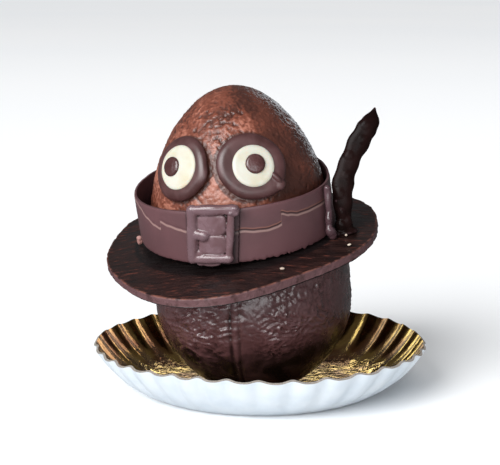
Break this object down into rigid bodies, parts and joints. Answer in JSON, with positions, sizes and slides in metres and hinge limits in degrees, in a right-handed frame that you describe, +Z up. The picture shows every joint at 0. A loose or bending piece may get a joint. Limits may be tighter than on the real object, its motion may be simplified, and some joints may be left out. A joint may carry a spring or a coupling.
{
  "type": "chocolate egg",
  "caption": "Moulded chocolate egg figure with eyes, tilted brim, buckled band and feather, standing in a fluted paper case.",
  "frame": {"origin": "centre of the paper case's flat underside", "axes": "+Z up, -Y the side that the buckle and the face look to, +X to the feather's side"},
  "size_m": [0.1726, 0.1726, 0.1559],
  "materials": {
    "case_paper": "white fluted card, gold foil on the inside",
    "dark_chocolate": "glossy creased dark chocolate",
    "brim_chocolate": "streaked dark chocolate with a soft shine",
    "band_chocolate": "smooth satin chocolate",
    "milk_chocolate": "creased chocolate with pale rubbed ridges",
    "eye_chocolate": "satin poured chocolate",
    "white_chocolate": "smooth creamy white chocolate",
    "feather_chocolate": "glossy piped dark chocolate"
  },
  "bodies": {
    "root": {"paper_case": "case_paper", "lower_egg": "dark_chocolate", "hat_brim": "brim_chocolate", "hat_band": "band_chocolate", "hat_buckle": "band_chocolate", "hat_feather": "feather_chocolate", "seam_bead": "band_chocolate", "upper_egg": "milk_chocolate", "eye_disc_left": "eye_chocolate", "eye_disc_right": "eye_chocolate", "eye_white_left": "white_chocolate", "eye_white_right": "white_chocolate", "pupil_left": "eye_chocolate", "pupil_right": "eye_chocolate"}
  },
  "joints": []
}
